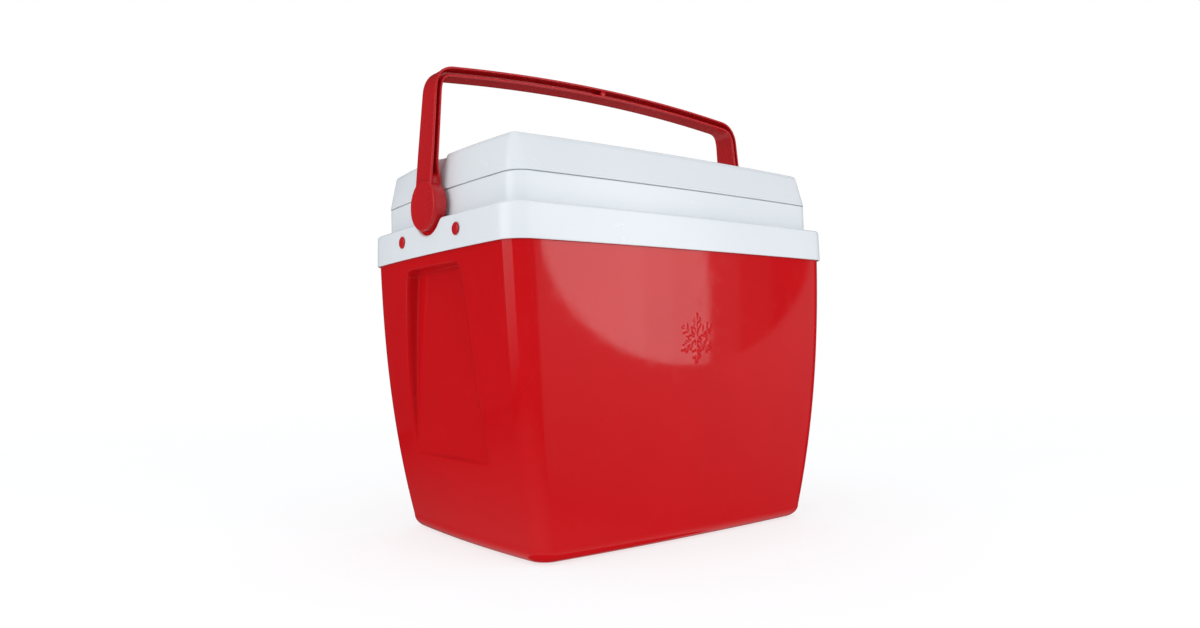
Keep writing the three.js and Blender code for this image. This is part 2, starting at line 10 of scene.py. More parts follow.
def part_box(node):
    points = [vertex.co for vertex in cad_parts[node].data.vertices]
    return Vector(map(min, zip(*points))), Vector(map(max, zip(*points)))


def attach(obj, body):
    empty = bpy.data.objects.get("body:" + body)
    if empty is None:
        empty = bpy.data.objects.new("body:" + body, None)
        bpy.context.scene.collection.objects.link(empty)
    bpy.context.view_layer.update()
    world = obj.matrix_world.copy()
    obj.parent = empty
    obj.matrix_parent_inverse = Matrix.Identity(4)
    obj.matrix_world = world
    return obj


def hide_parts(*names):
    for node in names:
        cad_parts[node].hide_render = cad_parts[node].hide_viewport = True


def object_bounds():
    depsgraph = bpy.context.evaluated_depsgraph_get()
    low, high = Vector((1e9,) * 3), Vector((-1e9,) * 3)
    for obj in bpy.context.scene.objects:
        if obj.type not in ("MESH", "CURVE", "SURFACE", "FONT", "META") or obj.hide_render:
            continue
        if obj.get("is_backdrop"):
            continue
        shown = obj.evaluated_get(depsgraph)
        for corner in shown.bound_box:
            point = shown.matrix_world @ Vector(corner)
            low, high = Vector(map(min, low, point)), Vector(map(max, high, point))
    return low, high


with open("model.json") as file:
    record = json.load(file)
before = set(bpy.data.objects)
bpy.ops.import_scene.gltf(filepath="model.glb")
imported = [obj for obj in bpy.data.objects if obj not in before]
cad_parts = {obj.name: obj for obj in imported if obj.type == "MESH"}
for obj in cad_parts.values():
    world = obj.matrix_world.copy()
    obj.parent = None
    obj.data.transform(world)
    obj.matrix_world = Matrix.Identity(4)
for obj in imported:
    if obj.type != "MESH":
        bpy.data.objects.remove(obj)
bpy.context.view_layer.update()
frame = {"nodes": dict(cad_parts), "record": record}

MM = 0.001

# ---------------------------------------------------------------- sizes, in millimetres


def box(node):
    """Lowest and highest corner of a CAD node, in millimetres."""
    low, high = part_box(node)
    return np.array(low) / MM, np.array(high) / MM


collar_low, collar_high = box("rim_collar")
lid_low, lid_high = box("lid_cover")
handle_low, handle_high = box("handle")
tub_low = box("inner_tub")[0]
pan_low, pan_high = box("lid_pan")

joints = {joint["name"]: joint for joint in frame["record"]["behaviour"]["joints"]}

SHELL_TOP = collar_low[2]
SKIRT_DRAFT = 0.5  # the skirt grows by this much from its top to its lower edge
SKIRT_A = collar_high[0] - SKIRT_DRAFT  # half length and half depth at the skirt's top
SKIRT_B = collar_high[1] - SKIRT_DRAFT
SKIRT_R = 23.0
LEDGE = 331.5  # height of the collar's ledge
RIM_STEP = 13.1  # from the skirt in to the collar's upper wall
RIM_TOP = collar_high[2]
END_BOW, FRONT_BOW = 6.0, 5.2  # how far the corners fall back from the bulging walls
END_ZONE = 9.0  # points this close to the box's end belong to its end wall
SEAM = lid_low[2]
LID_TOP = lid_high[2]
PIVOT_Z = joints["handle_swing"]["pos_m"][2] / MM


# ---------------------------------------------------------------- mesh building


def ring(a, b, r, end_y, front_x, corner_n=10, end_bow=END_BOW, front_bow=FRONT_BOW):
    """Rounded rectangle with bulging sides, anticlockwise, a by b in half sizes with corners of radius r.

    end_y gives the points of an end wall for the half width of its straight part.
    front_x holds the points of the front and back walls, from -1 to 1.
    """
    p = []
    ys = end_y(b - r)
    xs = front_x * (a - r)
    for k, (sx, sy) in enumerate(((1, -1), (1, 1), (-1, 1), (-1, -1))):
        t = -math.pi / 2 + k * math.pi / 2 + np.linspace(0, math.pi / 2, corner_n + 1)
        p.append(np.stack([sx * (a - r) + r * np.cos(t), sy * (b - r) + r * np.sin(t)], 1))
        if k == 0:
            p.append(np.stack([np.full(len(ys), a), ys], 1))
        elif k == 1:
            p.append(np.stack([-xs, np.full(len(xs), b)], 1))
        elif k == 2:
            p.append(np.stack([np.full(len(ys), -a), -ys], 1))
        else:
            p.append(np.stack([xs, np.full(len(xs), -b)], 1))
    p = np.concatenate(p)
    out = p.copy()
    out[:, 0] = p[:, 0] * (1 - (end_bow / a) * (p[:, 1] / b) ** 2)
    out[:, 1] = p[:, 1] * (1 - (front_bow / b) * (p[:, 0] / a) ** 2)
    return out


def face_outward(mesh):
    """Turns every face of a closed mesh outwards."""
    bm = bmesh.new()
    bm.from_mesh(mesh)
    bmesh.ops.recalc_face_normals(bm, faces=bm.faces)
    bm.to_mesh(mesh)
    bm.free()


def at_height(p, z):
    """Flat points in 3-D at height z, or at a height for each."""
    return np.column_stack([p, np.broadcast_to(z, len(p))])


def add_object(name, verts, faces, material):
    """A smooth-shaded closed mesh object from points in millimetres, with its faces turned outwards."""
    mesh = bpy.data.meshes.new(name)
    mesh.from_pydata([tuple(v) for v in np.asarray(verts) * MM], [], [tuple(f) for f in faces])
    mesh.validate()
    mesh.polygons.foreach_set("use_smooth", [True] * len(mesh.polygons))
    mesh.update()
    mesh.materials.append(material)
    face_outward(mesh)
    obj = bpy.data.objects.new(name, mesh)
    bpy.context.scene.collection.objects.link(obj)
    return obj


def skin(rings, cap_first=False, cap_last=False, loop=False):
    """Points and faces of a tube through rings of equal length."""
    n = len(rings[0])
    verts = [tuple(v) for r in rings for v in r]
    faces = []
    pairs = [(k, k + 1) for k in range(len(rings) - 1)]
    if loop:
        pairs.append((len(rings) - 1, 0))
    for k0, k1 in pairs:
        for i in range(n):
            j = (i + 1) % n
            faces.append((k0 * n + i, k0 * n + j, k1 * n + j, k1 * n + i))
    for wanted, k, flip in ((cap_first, 0, True), (cap_last, len(rings) - 1, False)):
        if wanted:
            c = len(verts)
            verts.append(tuple(np.mean(np.array(rings[k]), axis=0)))
            for i in range(n):
                j = (i + 1) % n
                faces.append((c, k * n + j, k * n + i) if flip else (c, k * n + i, k * n + j))
    return verts, faces


def join(parts):
    """Several point and face lists as one."""
    verts, faces = [], []
    for v, f in parts:
        base = len(verts)
        verts += list(v)
        faces += [tuple(i + base for i in face) for face in f]
    return verts, faces


def circle(radius, n):
    """Two arrays with the points of a circle."""
    t = np.linspace(0, 2 * math.pi, n, endpoint=False)
    return radius * np.cos(t), radius * np.sin(t)


def turned(profile, centre, side, n):
    """Solid of revolution about a line along X through centre.

    The profile holds (radius, x) and starts and ends on the line.
    """
    rings = []
    for radius, x in profile[1:-1]:
        along_y, along_z = circle(radius, n)
        rings.append(np.stack([np.full(n, side * x), centre[1] + along_y * side, centre[2] + along_z], 1))
    verts, faces = skin(rings)
    for k, row, flip in ((0, 0, True), (-1, len(rings) - 1, False)):
        c = len(verts)
        verts.append((side * profile[k][1], centre[1], centre[2]))
        for i in range(n):
            j = (i + 1) % n
            faces.append((c, row * n + j, row * n + i) if flip else (c, row * n + i, row * n + j))
    return verts, faces


def smoothstep(x):
    """0 below 0, 1 above 1 and a smooth rise between."""
    x = np.clip(x, 0, 1)
    return x * x * (3 - 2 * x)


# ---------------------------------------------------------------- materials


def node_material(name):
    """A new material, its node tree and its shader node."""
    material = bpy.data.materials.new(name)
    material.use_nodes = True
    tree = material.node_tree
    shader = tree.nodes["Principled BSDF"]
    return material, tree, shader


def link(tree, source, target):
    tree.links.new(source, target)


def place(tree):
    """Position in the object's own coordinates, in metres."""
    return tree.nodes.new("ShaderNodeTexCoord").outputs["Object"]


def noise(tree, scale, detail, roughness=0.5):
    """Strength of a noise, 0 to 1, with about scale blotches in a metre."""
    texture = tree.nodes.new("ShaderNodeTexNoise")
    texture.inputs["Scale"].default_value = scale
    texture.inputs["Detail"].default_value = detail
    texture.inputs["Roughness"].default_value = roughness
    link(tree, place(tree), texture.inputs["Vector"])
    return texture.outputs["Fac"]


def remap(tree, value, low, high, start=0.0, end=1.0):
    """Low where the value is start or less, high where it is end or more."""
    node = tree.nodes.new("ShaderNodeMapRange")
    node.inputs["From Min"].default_value = start
    node.inputs["From Max"].default_value = end
    node.inputs["To Min"].default_value = low
    node.inputs["To Max"].default_value = high
    link(tree, value, node.inputs["Value"])
    return node.outputs["Result"]


def two_colours(tree, factor, first, second):
    """From the first colour to the second as the factor goes from 0 to 1."""
    mix = tree.nodes.new("ShaderNodeMix")
    mix.data_type = "RGBA"
    mix.inputs["A"].default_value = (*first, 1)
    mix.inputs["B"].default_value = (*second, 1)
    link(tree, factor, mix.inputs["Factor"])
    return mix.outputs["Result"]


def bump(tree, height, strength, distance, under=None):
    """Normal of a surface raised by height, on top of another bump if there is one."""
    node = tree.nodes.new("ShaderNodeBump")
    node.inputs["Strength"].default_value = strength
    node.inputs["Distance"].default_value = distance
    link(tree, height, node.inputs["Height"])
    if under is not None:
        link(tree, under, node.inputs["Normal"])
    return node.outputs["Normal"]


def moulded_plastic(name, colour, darker, roughness, ripple, grain, scuffs):
    """Injection-moulded plastic: slow colour drift, faint ripple, fine skin grain and handling scuffs."""
    material, tree, shader = node_material(name)
    drift = remap(tree, noise(tree, 9.0, 3.0), 0.0, 1.0, 0.35, 0.7)
    link(tree, two_colours(tree, drift, colour, darker), shader.inputs["Base Color"])
    worn = remap(tree, noise(tree, 55.0, 6.0, 0.65), roughness, roughness + scuffs, 0.52, 0.75)
    link(tree, worn, shader.inputs["Roughness"])
    rippled = bump(tree, noise(tree, 16.0, 1.0), ripple, 0.004)
    grained = bump(tree, noise(tree, 1400.0, 2.0), grain, 0.0002, rippled)
    link(tree, grained, shader.inputs["Normal"])
    shader.inputs["IOR"].default_value = 1.49
    return material


def foam_material():
    """Expanded polystyrene: pressed beads with dark joints between them."""
    material, tree, shader = node_material("eps_foam")
    beads = tree.nodes.new("ShaderNodeTexVoronoi")
    beads.feature = "DISTANCE_TO_EDGE"
    beads.inputs["Scale"].default_value = 260.0
    link(tree, place(tree), beads.inputs["Vector"])
    bead = remap(tree, beads.outputs["Distance"], 0.0, 1.0, 0.0, 0.12)
    pressed = two_colours(tree, bead, (0.62, 0.62, 0.58), (0.88, 0.88, 0.84))
    link(tree, pressed, shader.inputs["Base Color"])
    link(tree, bump(tree, bead, 0.5, 0.0006), shader.inputs["Normal"])
    shader.inputs["Roughness"].default_value = 0.85
    return material


def spring_steel():
    """Drawn spring steel with fine streaks."""
    material, tree, shader = node_material("spring_steel")
    streaks = noise(tree, 400.0, 4.0)
    drawn = two_colours(tree, streaks, (0.42, 0.42, 0.43), (0.62, 0.62, 0.63))
    link(tree, drawn, shader.inputs["Base Color"])
    link(tree, remap(tree, streaks, 0.25, 0.45), shader.inputs["Roughness"])
    shader.inputs["Metallic"].default_value = 1.0
    return material


# name, colour, darker drift of it, roughness, ripple, grain, scuffs
red_shell = moulded_plastic(
    "red_shell_plastic", (0.53, 0.0055, 0.0085), (0.50, 0.005, 0.0078), 0.06, 0.012, 0.01, 0.09
)
red_handle = moulded_plastic(
    "red_handle_plastic", (0.49, 0.0055, 0.009), (0.45, 0.005, 0.0085), 0.26, 0.004, 0.0015, 0.05
)
white_outer = moulded_plastic(
    "white_plastic", (0.72, 0.755, 0.785), (0.70, 0.735, 0.765), 0.24, 0.005, 0.003, 0.05
)
white_tub = moulded_plastic(
    "white_tub_plastic", (0.77, 0.79, 0.80), (0.74, 0.765, 0.78), 0.24, 0.005, 0.003, 0.05
)
foam = foam_material()
steel = spring_steel()

# ---------------------------------------------------------------- column layouts

FRONT_X = np.linspace(-1, 1, 42)[1:-1]


def even_ends(half):
    """End-wall columns at even distances."""
    return np.linspace(-half, half, 22)[1:-1]


def dense_ends(reach):
    """End-wall columns: close together within reach of the middle, wider beyond."""

    def columns(half):
        inner = np.linspace(-reach, reach, int(reach * 2 / 1.1) + 1)
        outer = np.linspace(reach, half, 14)[1:-1]
        return np.concatenate([-outer[::-1], inner, outer])

    return columns


# ---------------------------------------------------------------- red shell

TAPER_LONG, TAPER_DEEP = 35.6, 16.8  # how much the half sizes shrink from the collar to the base
LONG_CURVE = (0.37, 0.63, 2.5)  # a straight share, a curved share and the curve's power
DEEP_CURVE = (-0.07, 1.07, 2.13)
SHELL_INSET = 2.6  # from the skirt in to the shell's face
SHELL_WALL = 2.2
SHELL_EDGE = 328.6  # the shell's upper edge, hidden under the collar
BASE_R, BASE_ROUND = 18.0, 13.5  # corner radius at the base, and rounding of its edge
FOOT = 30.0  # width of the flat ring the box stands on
RECESS_TOP, RECESS_BOTTOM, RECESS_CORNER = 286.0, 88.0, 9.0
RECESS_SLOPE = 3.2  # width of the slope round the recess
RECESS_SHOULDER, RECESS_NARROWING = 277.0, 0.19  # its sides are straight above this height
RECESS_LEAN = 0.985  # distance square to a side, for each millimetre along Y
RECESS_FLOOR, RECESS_FLOOR_SLOPE = 207.6, 0.031  # distance of its lower end from the middle, and slope
# curve of the recess's side, as height and half width
RECESS_SIDE = ((RECESS_BOTTOM, 73.0), (195.0, 70.0), (RECESS_SHOULDER, 56.0))


def shell_face(z):
    """Half length, half depth and corner radius of the shell at height z."""
    down = max(0.0, 1 - z / SHELL_TOP)
    long, deep = (line * down + bend * down ** power for line, bend, power in (LONG_CURVE, DEEP_CURVE))
    top_r = SKIRT_R - SHELL_INSET
    return (
        SKIRT_A - SHELL_INSET - TAPER_LONG * long,
        SKIRT_B - SHELL_INSET - TAPER_DEEP * deep,
        top_r + (BASE_R - top_r) * down,
    )


def bezier(p0, p1, p2, n):
    """Points on a quadratic curve, both ends included."""
    t = np.linspace(0, 1, n + 1)[:, None]
    return p0 * (1 - t) ** 2 + 2 * p1 * t * (1 - t) + p2 * t ** 2


recess_z, recess_y = bezier(*np.array(RECESS_SIDE), 59).T


def recess_half(z):
    """Half width of the end recess at height z."""
    z = np.asarray(z, float)
    shoulder = RECESS_SIDE[-1][1] - RECESS_NARROWING * (z - RECESS_SHOULDER)
    return np.where(z > RECESS_SHOULDER, shoulder, np.interp(z, recess_z, recess_y))


def recess_floor(z):
    """Distance of the recess's floor from the middle of the box."""
    return RECESS_FLOOR + RECESS_FLOOR_SLOPE * (z - RECESS_BOTTOM)


def recess_share(y, z, grow):
    """0 outside the recess, 1 on its floor, with a short slope between."""
    side = (np.abs(y) - recess_half(z) - grow) * RECESS_LEAN
    top = z - RECESS_TOP - grow
    r = RECESS_CORNER
    qx, qz = side + r, top + r
    d = np.minimum(np.maximum(qx, qz), 0) + np.hypot(np.maximum(qx, 0), np.maximum(qz, 0)) - r
    d = np.maximum(d, RECESS_BOTTOM - grow - z)
    return smoothstep(-d / RECESS_SLOPE)


# distance of each column from the recess's side
RECESS_COLUMNS = np.array([-9.0, -6.5, -5.0, -4.2, -3.6, -3.0, -2.4, -1.8, -1.2, -0.6, 0.0, 0.8, 2.0, 5.0])


def shell_columns(z):
    """End-wall columns that are close together across the recess's side at height z."""

    def columns(half):
        hw = float(recess_half(min(max(z, RECESS_BOTTOM), RECESS_TOP)))
        fine = hw + RECESS_COLUMNS
        mid = np.linspace(0, fine[0], 14)[:-1]
        outer = np.linspace(fine[-1], half, 9)[1:-1]
        right = np.concatenate([mid, fine, outer])
        return np.concatenate([-right[:0:-1], right])

    return columns


EMBLEM_Z, EMBLEM_REACH, EMBLEM_RELIEF = 207.0, 25.0, 0.26
EMBLEM_HALF, EMBLEM_SLOPE = 2.3, 1.7  # half width of an arm at its foot, and width of its rounded side
EMBLEM_TWIGS = ((9.0, 6.0), (16.0, 5.0))  # distance of each fork from the middle, and its length
# columns of the front wall, close together across the emblem
EMBLEM_X = np.arange(-27.9, 28.0, 0.9) / 200.0
SHELL_FRONT_X = np.concatenate([-np.linspace(1, 0.18, 18)[1:], EMBLEM_X, np.linspace(0.18, 1, 18)[:-1]])


def emblem(x, z):
    """Height of the six-armed snowflake that is moulded into the front wall."""
    up = z - EMBLEM_Z
    turn = np.arctan2(x, up)
    radius = np.hypot(x, up)
    sixth = math.pi / 3
    within = np.abs(turn - sixth * np.round(turn / sixth))
    along, aside = radius * np.cos(within), radius * np.sin(within)

    def from_line(start, end):
        (ax, ay), (bx, by) = start, end
        length = math.hypot(bx - ax, by - ay)
        ux, uy = (bx - ax) / length, (by - ay) / length
        share = np.clip((along - ax) * ux + (aside - ay) * uy, 0, length)
        return np.hypot(along - ax - share * ux, aside - ay - share * uy)

    nearest = from_line((0, 0), (EMBLEM_REACH - 1.5, 0))
    for root, reach in EMBLEM_TWIGS:
        nearest = np.minimum(nearest, from_line((root, 0), (root + reach * 0.6, reach * 0.8)))
    return EMBLEM_RELIEF * smoothstep((EMBLEM_HALF - nearest) / EMBLEM_SLOPE)


def shell_ring(z, inset=0.0, grow=0.0):
    """Ring of the shell's wall at height z, moved in by inset, with the recess grown by grow."""
    a, b, r = shell_face(z)
    p = ring(a - inset, b - inset, max(r - inset, 3), shell_columns(z), SHELL_FRONT_X)
    if not inset and abs(z - EMBLEM_Z) < EMBLEM_REACH + 3:
        on_front = (p[:, 1] < 0) & (np.abs(p[:, 0]) < EMBLEM_REACH + 3)
        p[:, 1] -= np.where(on_front, emblem(p[:, 0], z), 0)
    floor = recess_floor(z) - (inset if grow else 0.0)
    share = recess_share(p[:, 1], z, grow)
    depth = np.maximum(np.abs(p[:, 0]) - floor, 0)
    on_end = np.abs(p[:, 0]) > a - inset - END_ZONE
    p[:, 0] -= np.sign(p[:, 0]) * np.where(on_end, depth * share, 0)
    return at_height(p, z)


def base_ring(level, inset, z):
    """Flat ring at height z, in by inset from the shell's face at another level."""
    a, b, r = shell_face(level)
    columns = shell_columns(RECESS_BOTTOM)
    return at_height(ring(a - inset, b - inset, max(r - inset * 0.4, 5), columns, SHELL_FRONT_X), z)


def build_shell():
    """The red shell, from the raised middle of its underside up the outside and down the inside."""
    # height of each ring outside: close together at the recess's lower edge, the emblem and the upper edge
    rows = [BASE_ROUND + 0.6, *np.linspace(18, 84, 17), 86, *np.arange(87, 95, 0.8)]
    rows += [*np.linspace(96, 179, 20), *np.arange(180, 234.3, 0.9), *np.linspace(236, 270, 10)]
    rows += [*np.arange(271, 289, 0.8), 290.5, 293, 297, 303, 312, 322, 326]
    inner_rows = [322, 297, 290, *np.arange(288, 270, -1.6), *np.linspace(269, 96, 22)]
    inner_rows += [*np.arange(94, 84, -1.6), 60, 40, 22]
    # further in than the foot's outer edge, and height
    underside = [(14.0, 3.0), (11.6, 3.0), (10.9, 2.7), (10.6, 2.2), (10.2, 0.6), (9.7, 0.15), (9.0, 0.0)]
    rings = [base_ring(BASE_ROUND, FOOT + inset, z) for inset, z in underside]
    rings.append(base_ring(BASE_ROUND, BASE_ROUND + 1.5, 0.0))
    for t in np.linspace(0, math.pi / 2, 9, endpoint=False):
        rings.append(base_ring(BASE_ROUND, BASE_ROUND * (1 - math.sin(t)), BASE_ROUND * (1 - math.cos(t))))
    rings += [shell_ring(z) for z in rows]
    rings += [shell_ring(SHELL_EDGE - drop, inset) for drop, inset in ((0.6, 0.3), (0.0, 1.1), (0.6, 1.9))]
    rings += [shell_ring(z, SHELL_WALL, grow=SHELL_WALL) for z in inner_rows]
    for inset, z in ((1.0, 11.0), (4.0, 6.5), (9.0, 5.6)):
        rings.append(base_ring(16, SHELL_WALL + inset, z))
    return add_object("shell_body", *skin(rings, cap_first=True, cap_last=True), red_shell)


shell = build_shell()
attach(shell, "body")
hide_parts("outer_shell")

# ---------------------------------------------------------------- white collar

SCOOP_R, SCOOP_BLEND = 30.0, 5.0  # round dip in the ledge under each hub, and how softly it starts
SCOOP_REACH = 45.0  # the ledge is flat beyond this distance from the middle of the end
EDGE_R, LEDGE_FILLET, COLLAR_TOP_R = 2.4, 2.6, 1.3
CORNER_CUT, CORNER_FROM = 3.6, 4.0  # the plan's corners get tighter across the ledge, from this inset on
SKIRT_LIP = 1.8  # height of the skirt's rounded lower lip
COLLAR_UNDER = 2.5  # thickness of the ledge
# boss round each axle, as radius and distance out from the upper wall
PAD = ((9.4, -2.0), (9.4, 3.0), (9.9, 3.5), (13.1, 3.5), (13.6, 3.0), (13.6, -2.0))
TUB_IN_LONG, TUB_IN_DEEP, TUB_R = 22.0, 17.0, 22.0  # from the shell's face in to the tub's, and its corners


def ledge_height(y):
    """Height of the collar's ledge on the end walls: it dips into a round scoop under the hub."""
    y = np.abs(y)
    scoop = PIVOT_Z - np.sqrt(np.maximum(SCOOP_R ** 2 - y ** 2, 0))
    scoop = np.where(y >= SCOOP_R, LID_TOP, scoop)
    share = np.clip(0.5 + 0.5 * (LEDGE - scoop) / SCOOP_BLEND, 0, 1)
    return LEDGE + (scoop - LEDGE) * share - SCOOP_BLEND * share * (1 - share)


def tub_face(z, extra):
    """Half length, half depth and corner radius of the tub's outside at height z, larger by extra."""
    a, b, _ = shell_face(z)
    return a - TUB_IN_LONG + extra, b - TUB_IN_DEEP + extra, TUB_R + extra


collar_columns = dense_ends(34.0)


def collar_rows():
    """The collar's section as (kind, ...) rows, from inside the skirt up the outside and back underneath.

    skirt: inset, height above the shell's top; face: share of the way up the skirt; wall: share of the way
    up the upper wall; ledge: inset, height above the ledge; top: inset, height; tub: growth, height.
    """
    rows = [("skirt", 2.2, 0.9), ("skirt", 1.5, 0.25), ("skirt", 1.1, 0.0), ("skirt", 0.6, 0.05)]
    rows += [("skirt", 0.2, 0.3), ("skirt", 0.0, 0.8), ("skirt", 0.0, SKIRT_LIP)]
    rows += [("face", share) for share in (0.12, 0.3, 0.5, 0.7, 0.88, 0.97)]
    for t in np.radians([0, 15, 32, 50, 68, 90]):
        rows.append(("ledge", EDGE_R * (1 - math.cos(t)), -EDGE_R * (1 - math.sin(t))))
    rows += [("ledge", 3.4, 0.0), ("ledge", 6.5, 0.0), ("ledge", 9.5, 0.0)]
    for t in np.radians([0, 22, 45, 68, 90]):
        inset = RIM_STEP - LEDGE_FILLET * (1 - math.sin(t))
        rows.append(("ledge", inset, LEDGE_FILLET * (1 - math.cos(t))))
    rows += [("wall", share) for share in (0.1, 0.3, 0.55, 0.8, 0.95)]
    for t in np.radians([0, 30, 60, 90]):
        inset = RIM_STEP + COLLAR_TOP_R * (1 - math.cos(t))
        rows.append(("top", inset, RIM_TOP - COLLAR_TOP_R * (1 - math.sin(t))))
    rows += [("top", RIM_STEP + 2.4, RIM_TOP), ("tub", 0.3, RIM_TOP), ("tub", 0.3, RIM_TOP - 2.5)]
    rows += [("top", RIM_STEP + 2.5, RIM_TOP - 2.5)]
    return rows + [("ledge", RIM_STEP + 2.5, -COLLAR_UNDER), ("ledge", 2.2, -COLLAR_UNDER)]


def collar_ring(kind, first, height=0.0):
    """Ring of points for one row of the collar's section."""
    if kind == "tub":
        return at_height(ring(*tub_face(SEAM, first), collar_columns, FRONT_X), height)
    inset, grow = first, 0.0
    if kind == "face":
        inset, grow = 0.0, SKIRT_DRAFT * (1 - first)
    elif kind == "wall":
        inset = RIM_STEP
    elif kind == "skirt":
        grow = SKIRT_DRAFT
    corner = SKIRT_R - inset
    if inset >= CORNER_FROM:
        cut = CORNER_CUT * min(inset / RIM_STEP, 1.0)
        corner = SKIRT_R - EDGE_R - cut - max(inset - RIM_STEP, 0)
    a, b = SKIRT_A + grow - inset, SKIRT_B + grow - inset
    p = ring(a, b, max(corner, 6), collar_columns, FRONT_X)
    at_scoop = (np.abs(p[:, 0]) > a * 0.9) & (np.abs(p[:, 1]) <= SCOOP_REACH)
    ledge = np.where(at_scoop, ledge_height(p[:, 1]), LEDGE)
    if kind == "skirt":
        return at_height(p, SHELL_TOP + height)
    if kind == "face":
        lip = SHELL_TOP + SKIRT_LIP
        return at_height(p, lip + (ledge - EDGE_R - lip) * first)
    if kind == "wall":
        foot = ledge + LEDGE_FILLET
        return at_height(p, foot + (RIM_TOP - COLLAR_TOP_R - foot) * first)
    return at_height(p, ledge + height if kind == "ledge" else height)


def build_collar():
    """The white collar, with a round boss for each axle on its upper wall."""
    parts = [skin([collar_ring(*row) for row in collar_rows()], loop=True)]
    wall = SKIRT_A - RIM_STEP
    for side in (-1, 1):
        boss = []
        for radius, out in PAD:
            y, z = circle(radius, 64)
            boss.append(np.stack([np.full(64, side * (wall + out)), y, PIVOT_Z + z], 1))
        parts.append(skin(boss, loop=True))
    return add_object("collar_body", *join(parts), white_outer)


collar = build_collar()
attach(collar, "body")
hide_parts("rim_collar")

# ---------------------------------------------------------------- tub

TUB_WALL, TUB_ROUND, TUB_LIP = 1.8, 16.0, 2.0
FLANGE_IN, FLANGE_TOP = 15.9, 1.5  # the flange's edge, in from the skirt, and its height above the seam


def tub_ring(level, extra, z, shrink=0.0):
    """Ring at height z with the tub's outline at another level, larger by extra and smaller by shrink."""
    a, b, r = tub_face(level, extra - shrink)
    return at_height(ring(a, b, max(r - shrink * 0.2, 8), even_ends, FRONT_X), z)


def build_tub():
    """The tub, from the middle of its underside up the outside, over the flange and down the inside."""
    floor = tub_low[2]
    level = floor + TUB_ROUND  # where the walls start
    rings = [tub_ring(floor, 0, floor, 60), tub_ring(level, 0, floor, TUB_ROUND + 1)]
    for t in np.linspace(0, math.pi / 2, 7, endpoint=False):
        rise, shrink = TUB_ROUND * (1 - math.cos(t)), TUB_ROUND * (1 - math.sin(t))
        rings.append(tub_ring(level, 0, floor + rise, shrink))
    rings += [tub_ring(z, 0, z) for z in np.linspace(level, SHELL_TOP, 12)]
    rings.append(tub_ring(SEAM, 0, SEAM - 0.2))
    for inset, up in ((0.5, 0.0), (0.0, 0.4), (0.0, 1.1), (0.4, FLANGE_TOP), (1.2, FLANGE_TOP)):
        a, b = SKIRT_A - FLANGE_IN - inset, SKIRT_B - FLANGE_IN - inset
        rings.append(at_height(ring(a, b, 14, even_ends, FRONT_X), SEAM + up))
    for t in np.radians([90, 70, 45, 20, 0]):
        z = SEAM + FLANGE_TOP - TUB_LIP * (1 - math.sin(t))
        rings.append(tub_ring(SEAM, -TUB_WALL + TUB_LIP * (1 - math.cos(t)), z))
    rings += [tub_ring(z, -TUB_WALL, z) for z in np.linspace(SHELL_TOP + 40, level + TUB_WALL, 16)]
    for t in np.linspace(math.pi / 2, 0, 11)[1:]:
        rise, shrink = TUB_ROUND * (1 - math.cos(t)), TUB_ROUND * (1 - math.sin(t))
        rings.append(tub_ring(level, -TUB_WALL, floor + TUB_WALL + rise, shrink))
    rings += [tub_ring(floor, -TUB_WALL, floor + TUB_WALL, shrink) for shrink in (40, 60)]
    return add_object("tub_liner", *skin(rings, cap_first=True, cap_last=True), white_tub)


tub = build_tub()
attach(tub, "body")
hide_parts("inner_tub")

# ---------------------------------------------------------------- lid

LID_OVERHANG, LID_DRAFT_END, LID_DRAFT_FRONT = 0.7, 4.6, 9.8
LID_CORNER_SEAM, LID_CORNER_TOP = 18.0, 6.0
LID_BOW_END, LID_BOW_FRONT = 2.2, 1.6  # extra bulge at the top
LID_WALL, LID_EDGE, LID_LOWER_EDGE = 2.4, 2.4, 1.1
PANEL_INSET, PANEL_DEPTH = 17.0, 1.5
# edge of the sunken panel, as distance in from the panel's outline and drop
PANEL_STEP = ((-0.8, 0.08), (-0.2, 0.4), (0.3, 1.1), (0.8, 1.42), (1.8, PANEL_DEPTH), (4.0, PANEL_DEPTH))
LID_SCOOP_R, LID_SCOOP_DEPTH, LID_SCOOP_LEAN = 18.5, 6.5, 0.4625
LID_SCOOP_BLEND = 1.2
lid_columns = dense_ends(24.0)


def lid_ring(level, inset, z, columns=lid_columns, scoop_grow=0.0, scoop_share=1.0):
    """Ring at height z with the lid's outline at another level, in by inset.

    The scoop is a leaning cylinder that bites into the top of each end wall.
    scoop_share is how much of it shows.
    """
    up = (level - SEAM) / (LID_TOP - SEAM)
    a = SKIRT_A - RIM_STEP + LID_OVERHANG - LID_DRAFT_END * up - inset
    b = SKIRT_B - RIM_STEP + LID_OVERHANG - LID_DRAFT_FRONT * up - inset
    r = max(LID_CORNER_SEAM + (LID_CORNER_TOP - LID_CORNER_SEAM) * up - inset, 3.5)
    bows = {"end_bow": END_BOW + LID_BOW_END * up, "front_bow": FRONT_BOW + LID_BOW_FRONT * up}
    p = ring(a, b, r, columns, FRONT_X, **bows)
    top_wall = SKIRT_A - RIM_STEP + LID_OVERHANG - LID_DRAFT_END
    centre = top_wall + LID_SCOOP_R - LID_SCOOP_DEPTH + LID_SCOOP_LEAN * (LID_TOP - z)
    radius = LID_SCOOP_R + scoop_grow
    y = np.abs(p[:, 1])
    over = np.abs(p[:, 0]) - centre + np.sqrt(np.maximum(radius ** 2 - y ** 2, 0))
    k = LID_SCOOP_BLEND
    push = np.where(over > -k, np.where(over < k, (over + k) ** 2 / (4 * k), over), 0)
    scooped = (y < radius) & (np.abs(p[:, 0]) > a - END_ZONE)
    p[:, 0] -= np.sign(p[:, 0]) * np.where(scooped, push, 0) * scoop_share
    return at_height(p, z)


